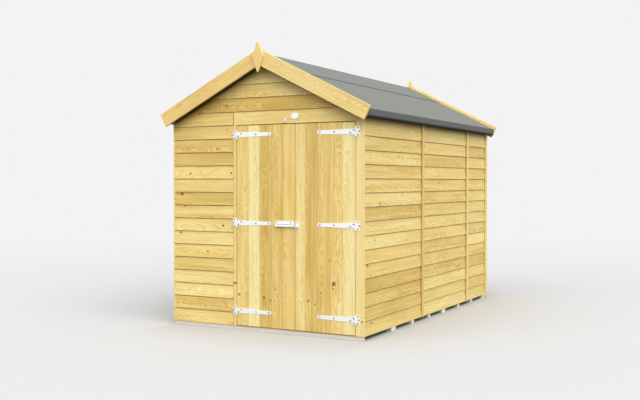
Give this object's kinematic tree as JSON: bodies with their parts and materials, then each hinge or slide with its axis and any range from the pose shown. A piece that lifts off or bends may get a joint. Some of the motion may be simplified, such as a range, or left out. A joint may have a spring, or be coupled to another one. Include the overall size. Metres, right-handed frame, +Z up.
{
  "type": "apex garden shed",
  "caption": "Overlap-clad timber garden shed with an apex felt roof, double doors on tee hinges, a pad bolt and a turn button, standing on timber bearers.",
  "frame": {"origin": "on the ground, below the centre of the shed", "axes": "+Z up, +Y from the doors to the rear wall along the ridge, +X to the right seen from the doors"},
  "size_m": [2.006, 3.21, 2.3801],
  "materials": {
    "cladding": "rough-sawn treated pine",
    "door_boards": "planed treated pine",
    "trim": "planed treated pine",
    "framing": "rough-sawn treated pine",
    "floor_boards": "planed treated pine",
    "bearers": "rough-sawn treated pine",
    "roofing_felt": "mineral felt",
    "galvanised": "bright zinc"
  },
  "bodies": {
    "root": {"front_wall_left": "cladding", "front_header": "cladding", "front_gable": "cladding", "rear_wall": "cladding", "rear_gable": "cladding", "left_wall_front": "cladding", "left_wall_middle": "cladding", "left_wall_rear": "cladding", "right_wall_front": "cladding", "right_wall_middle": "cladding", "right_wall_rear": "cladding", "corner_trims": "trim", "wall_cover_strips": "trim", "door_posts": "trim", "front_barge_left": "trim", "front_barge_right": "trim", "rear_barge_left": "trim", "rear_barge_right": "trim", "finials": "trim", "side_wall_rails": "framing", "side_wall_studs": "framing", "end_wall_rails": "framing", "end_wall_framing": "framing", "roof_framing": "framing", "roof_boards_left": "framing", "roof_boards_right": "framing", "floor_front": "floor_boards", "floor_middle": "floor_boards", "floor_rear": "floor_boards", "floor_bearers": "bearers", "front_skirt_board": "bearers", "roof_felt_left": "roofing_felt", "roof_felt_right": "roofing_felt", "ridge_felt": "roofing_felt", "hinge_plates": "galvanised", "turn_button_screw": "galvanised", "tally_plate": "galvanised"},
    "left_door": {"left_door_leaf": "door_boards", "left_door_ledges": "framing", "left_door_straps": "galvanised", "bolt_plate": "galvanised"},
    "right_door": {"right_door_leaf": "door_boards", "right_door_ledges": "framing", "right_door_straps": "galvanised", "bolt_keeper": "galvanised"},
    "bolt_bar": {"bolt_bar": "galvanised"},
    "turn_button": {"turn_button": "galvanised"}
  },
  "joints": [
    {"name": "left_door", "type": "hinge", "parent": "root", "child": "left_door", "pos_m": [-0.268, -1.514, 0.895], "axis": [0, 0, -1], "range_deg": [0, 165]},
    {"name": "right_door", "type": "hinge", "parent": "root", "child": "right_door", "pos_m": [0.84, -1.514, 0.895], "axis": [0, 0, 1], "range_deg": [0, 165]},
    {"name": "bolt_slide", "type": "slide", "parent": "left_door", "child": "bolt_bar", "axis": [1, 0, 0], "range_m": [0, 0.04]},
    {"name": "turn_button", "type": "hinge", "parent": "root", "child": "turn_button", "pos_m": [0.208, -1.5155, 1.725], "axis": [0, 1, 0], "continuous": true}
  ]
}
